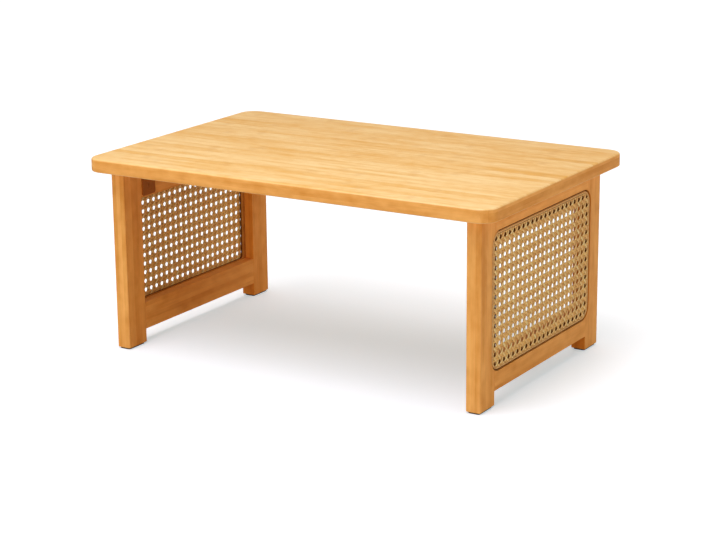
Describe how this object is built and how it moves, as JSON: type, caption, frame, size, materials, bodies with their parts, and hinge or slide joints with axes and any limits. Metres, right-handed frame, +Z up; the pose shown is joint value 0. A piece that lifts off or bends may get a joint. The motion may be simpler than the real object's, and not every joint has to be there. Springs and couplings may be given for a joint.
{
  "type": "folding low floor table",
  "caption": "Low rectangular floor table in laminated bamboo, its flat rounded top on end frames with inset woven cane panels that hinge inward and lie flat under the top.",
  "frame": {"origin": "on the floor, under the middle of the table top", "axes": "+Z up, +X along the table's length towards the right end frame, -Y towards the front long side"},
  "size_m": [0.6, 0.384, 0.264],
  "materials": {
    "bamboo_top": "satin clear lacquer on light honey laminated bamboo",
    "bamboo_frame": "satin clear lacquer on caramel laminated bamboo",
    "dowel_wood": "plain glued hardwood dowel",
    "cane": "natural split rattan cane, slightly glossy",
    "reed": "natural round reed pressed into its groove",
    "dark_bronze": "dark bronze painted steel",
    "steel": "bright drawn steel",
    "dark_rubber": "matt dark brown rubber"
  },
  "bodies": {
    "table": {"table_top": "bamboo_top", "leg_bumpers": "dark_rubber", "left_front_hinge_top_leaf": "dark_bronze", "left_back_hinge_top_leaf": "dark_bronze", "left_front_hinge_pin": "steel", "left_back_hinge_pin": "steel", "left_hinge_top_screws": "dark_bronze", "left_bolt_keeper": "steel", "right_front_hinge_top_leaf": "dark_bronze", "right_back_hinge_top_leaf": "dark_bronze", "right_front_hinge_pin": "steel", "right_back_hinge_pin": "steel", "right_hinge_top_screws": "dark_bronze", "right_bolt_keeper": "steel"},
    "left_frame": {"left_front_leg": "bamboo_frame", "left_back_leg": "bamboo_frame", "left_top_rail": "bamboo_frame", "left_bottom_rail": "bamboo_frame", "left_frame_dowels": "dowel_wood", "left_cane_frame": "bamboo_frame", "left_cane_webbing": "cane", "left_cane_spline": "reed", "left_front_hinge_rail_leaf": "dark_bronze", "left_back_hinge_rail_leaf": "dark_bronze", "left_hinge_rail_screws": "dark_bronze", "left_bolt_plate": "dark_bronze", "left_bolt_plate_screws": "dark_bronze", "left_front_foot_pad": "dark_rubber", "left_back_foot_pad": "dark_rubber"},
    "left_bolt": {"left_bolt_rod": "steel", "left_bolt_knob": "dark_bronze"},
    "right_frame": {"right_front_leg": "bamboo_frame", "right_back_leg": "bamboo_frame", "right_top_rail": "bamboo_frame", "right_bottom_rail": "bamboo_frame", "right_frame_dowels": "dowel_wood", "right_cane_frame": "bamboo_frame", "right_cane_webbing": "cane", "right_cane_spline": "reed", "right_front_hinge_rail_leaf": "dark_bronze", "right_back_hinge_rail_leaf": "dark_bronze", "right_hinge_rail_screws": "dark_bronze", "right_bolt_plate": "dark_bronze", "right_bolt_plate_screws": "dark_bronze", "right_front_foot_pad": "dark_rubber", "right_back_foot_pad": "dark_rubber"},
    "right_bolt": {"right_bolt_rod": "steel", "right_bolt_knob": "dark_bronze"}
  },
  "joints": [
    {"name": "left_frame_fold", "type": "hinge", "parent": "table", "child": "left_frame", "pos_m": [-0.2527, 0, 0.2427], "axis": [0, -1, 0], "range_deg": [0, 90]},
    {"name": "left_bolt_slide", "type": "slide", "parent": "left_frame", "child": "left_bolt", "axis": [0, 0, 1], "range_m": [0, 0.008]},
    {"name": "right_frame_fold", "type": "hinge", "parent": "table", "child": "right_frame", "pos_m": [0.2527, 0, 0.2427], "axis": [0, 1, 0], "range_deg": [0, 90]},
    {"name": "right_bolt_slide", "type": "slide", "parent": "right_frame", "child": "right_bolt", "axis": [0, 0, 1], "range_m": [0, 0.008]}
  ]
}
